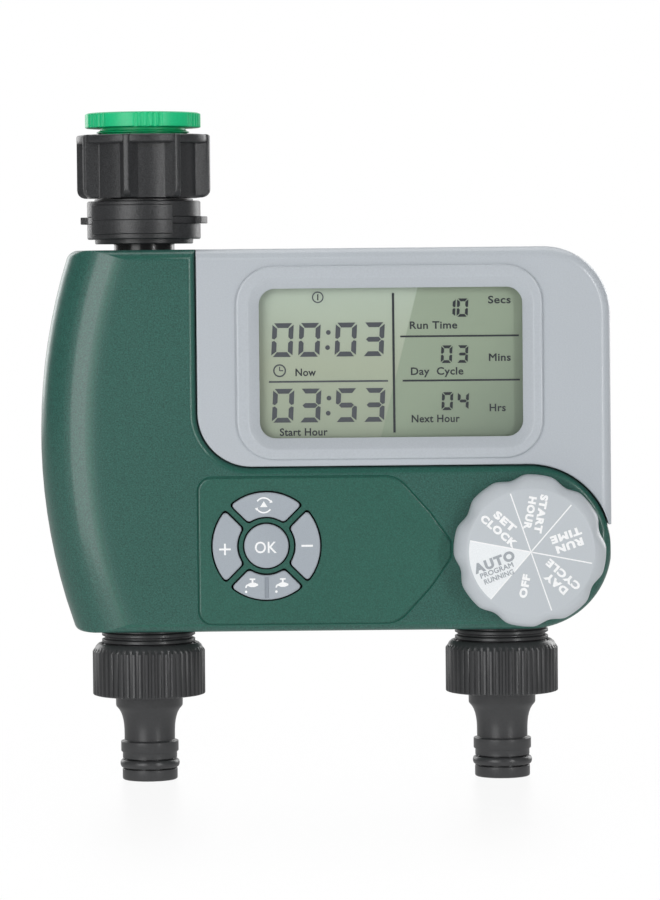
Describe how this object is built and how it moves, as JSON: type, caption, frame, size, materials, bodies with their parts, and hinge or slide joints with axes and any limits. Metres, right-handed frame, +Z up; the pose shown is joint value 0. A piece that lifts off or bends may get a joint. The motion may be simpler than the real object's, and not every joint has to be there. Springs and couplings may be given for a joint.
{
  "type": "drip irrigation timer",
  "caption": "Hose-tap irrigation timer: swivel inlet, display window, keypad, rotary selector, solenoid valves and quick-connect outlets.",
  "frame": {"origin": "centre of the tap adapter's top face, on the inlet axis", "axes": "+Z up along the inlet axis towards the tap, -Y the side with the display, +X right as seen from the front"},
  "size_m": [0.1591, 0.0619, 0.1884],
  "materials": {
    "case_green": "satin moulding with a fine metallic fleck",
    "bezel_gray": "satin",
    "screw_steel": "plated",
    "lens_clear": "clear acrylic window",
    "lcd_glass": "reflective display",
    "inner_plastic": "moulded",
    "board_green": "solder mask",
    "rubber_black": "moulded",
    "key_gray": "fine moulded",
    "knob_gray": "fine moulded",
    "shaft_white": "moulded",
    "cell_wrap": "printed sleeve",
    "spring_steel": "bright",
    "coil_copper": "wound and lacquered",
    "water_plastic": "moulded",
    "adapter_green": "moulded",
    "inlet_black": "moulded"
  },
  "bodies": {
    "housing": {"front_housing": "case_green", "display_bezel": "bezel_gray", "rear_housing": "case_green", "housing_screw_1": "screw_steel", "housing_screw_2": "screw_steel", "housing_screw_3": "screw_steel", "housing_screw_4": "screw_steel", "housing_screw_5": "screw_steel", "housing_screw_6": "screw_steel", "display_lens": "lens_clear", "lcd_panel": "lcd_glass", "lcd_holder": "inner_plastic", "main_board": "board_green", "keypad_mat": "rubber_black", "selector_switch": "inner_plastic", "battery_tray": "inner_plastic", "battery_1": "cell_wrap", "battery_2": "cell_wrap", "battery_spring_1": "spring_steel", "battery_spring_2": "spring_steel", "battery_contact_1": "spring_steel", "battery_contact_2": "spring_steel", "battery_cover_seal": "rubber_black", "water_manifold": "water_plastic", "left_diaphragm": "rubber_black", "right_diaphragm": "rubber_black", "left_bonnet": "inner_plastic", "right_bonnet": "inner_plastic", "left_coil": "coil_copper", "right_coil": "coil_copper", "left_plunger_spring": "spring_steel", "right_plunger_spring": "spring_steel", "inlet_sleeve": "inner_plastic", "inlet_filter": "spring_steel", "nut_washer": "rubber_black", "swivel_collar": "inlet_black", "locking_clip": "inlet_black"},
    "swivel_nut": {"inlet_nut": "inlet_black"},
    "adapter_carriage": {"adapter_washer": "rubber_black"},
    "adapter": {"tap_adapter": "adapter_green"},
    "left_outlet_carriage": {"left_connector_washer": "rubber_black"},
    "left_outlet": {"left_connector": "water_plastic", "left_connector_oring": "rubber_black"},
    "right_outlet_carriage": {"right_connector_washer": "rubber_black"},
    "right_outlet": {"right_connector": "water_plastic", "right_connector_oring": "rubber_black"},
    "selector": {"selector_knob": "knob_gray", "selector_shaft": "shaft_white"},
    "key_ok": {"button_ok": "key_gray"},
    "key_cycle": {"button_cycle": "key_gray"},
    "key_plus": {"button_plus": "key_gray"},
    "key_minus": {"button_minus": "key_gray"},
    "key_valves": {"button_valves": "key_gray"},
    "back_cover": {"battery_cover": "case_green"},
    "cover_screw_1": {"battery_cover_screw_1": "screw_steel"},
    "cover_screw_2": {"battery_cover_screw_2": "screw_steel"},
    "left_armature": {"left_plunger": "spring_steel"},
    "right_armature": {"right_plunger": "spring_steel"}
  },
  "joints": [
    {"name": "inlet_nut_turn", "type": "hinge", "parent": "housing", "child": "swivel_nut", "pos_m": [0, 0, -0.0239], "axis": [0, 0, 1], "continuous": true},
    {"name": "adapter_travel", "type": "slide", "parent": "swivel_nut", "child": "adapter_carriage", "axis": [0, 0, 1], "range_m": [0, 0.0128]},
    {"name": "adapter_turn", "type": "hinge", "parent": "adapter_carriage", "child": "adapter", "pos_m": [0, 0, 0], "axis": [0, 0, 1], "range_deg": [0, 2520]},
    {"name": "left_outlet_travel", "type": "slide", "parent": "housing", "child": "left_outlet_carriage", "axis": [0, 0, -1], "range_m": [0, 0.0078]},
    {"name": "left_outlet_turn", "type": "hinge", "parent": "left_outlet_carriage", "child": "left_outlet", "pos_m": [0, 0, -0.1496], "axis": [0, 0, -1], "range_deg": [0, 1530]},
    {"name": "right_outlet_travel", "type": "slide", "parent": "housing", "child": "right_outlet_carriage", "axis": [0, 0, -1], "range_m": [0, 0.0078]},
    {"name": "right_outlet_turn", "type": "hinge", "parent": "right_outlet_carriage", "child": "right_outlet", "pos_m": [0.1, 0, -0.1496], "axis": [0, 0, -1], "range_deg": [0, 1530]},
    {"name": "selector_turn", "type": "hinge", "parent": "housing", "child": "selector", "pos_m": [0.107, -0.0243, -0.1228], "axis": [0, 1, 0], "continuous": true},
    {"name": "key_ok_press", "type": "slide", "parent": "housing", "child": "key_ok", "axis": [0, 1, 0], "range_m": [0, 0.0008], "stiffness_N_per_m": 600, "springref_m": -0.001},
    {"name": "key_cycle_press", "type": "slide", "parent": "housing", "child": "key_cycle", "axis": [0, 1, 0], "range_m": [0, 0.0008], "stiffness_N_per_m": 600, "springref_m": -0.001},
    {"name": "key_plus_press", "type": "slide", "parent": "housing", "child": "key_plus", "axis": [0, 1, 0], "range_m": [0, 0.0008], "stiffness_N_per_m": 600, "springref_m": -0.001},
    {"name": "key_minus_press", "type": "slide", "parent": "housing", "child": "key_minus", "axis": [0, 1, 0], "range_m": [0, 0.0008], "stiffness_N_per_m": 600, "springref_m": -0.001},
    {"name": "key_valves_rock", "type": "hinge", "parent": "housing", "child": "key_valves", "pos_m": [0.034, -0.0225, -0.1325], "axis": [0, 0, 1], "range_deg": [-3, 3], "stiffness_Nm_per_rad": 0.05},
    {"name": "back_cover_lift", "type": "slide", "parent": "housing", "child": "back_cover", "axis": [0, 1, 0], "range_m": [0, 0.03]},
    {"name": "cover_screw_1_turn", "type": "hinge", "parent": "back_cover", "child": "cover_screw_1", "pos_m": [0.0365, 0.0263, -0.068], "axis": [0, 1, 0], "range_deg": [0, 1800]},
    {"name": "cover_screw_2_turn", "type": "hinge", "parent": "back_cover", "child": "cover_screw_2", "pos_m": [0.105, 0.0263, -0.068], "axis": [0, 1, 0], "range_deg": [0, 1800]},
    {"name": "left_armature_lift", "type": "slide", "parent": "housing", "child": "left_armature", "axis": [0, 1, 0], "range_m": [0, 0.002], "stiffness_N_per_m": 150, "springref_m": -0.003, "deforming": ["left_plunger_spring"]},
    {"name": "right_armature_lift", "type": "slide", "parent": "housing", "child": "right_armature", "axis": [0, 1, 0], "range_m": [0, 0.002], "stiffness_N_per_m": 150, "springref_m": -0.003, "deforming": ["right_plunger_spring"]}
  ],
  "couplings": [
    {"joint": "adapter_travel", "follows": "adapter_turn", "m_per_rad": 0.00028871},
    {"joint": "left_outlet_travel", "follows": "left_outlet_turn", "m_per_rad": 0.00028871},
    {"joint": "right_outlet_travel", "follows": "right_outlet_turn", "m_per_rad": 0.00028871}
  ]
}
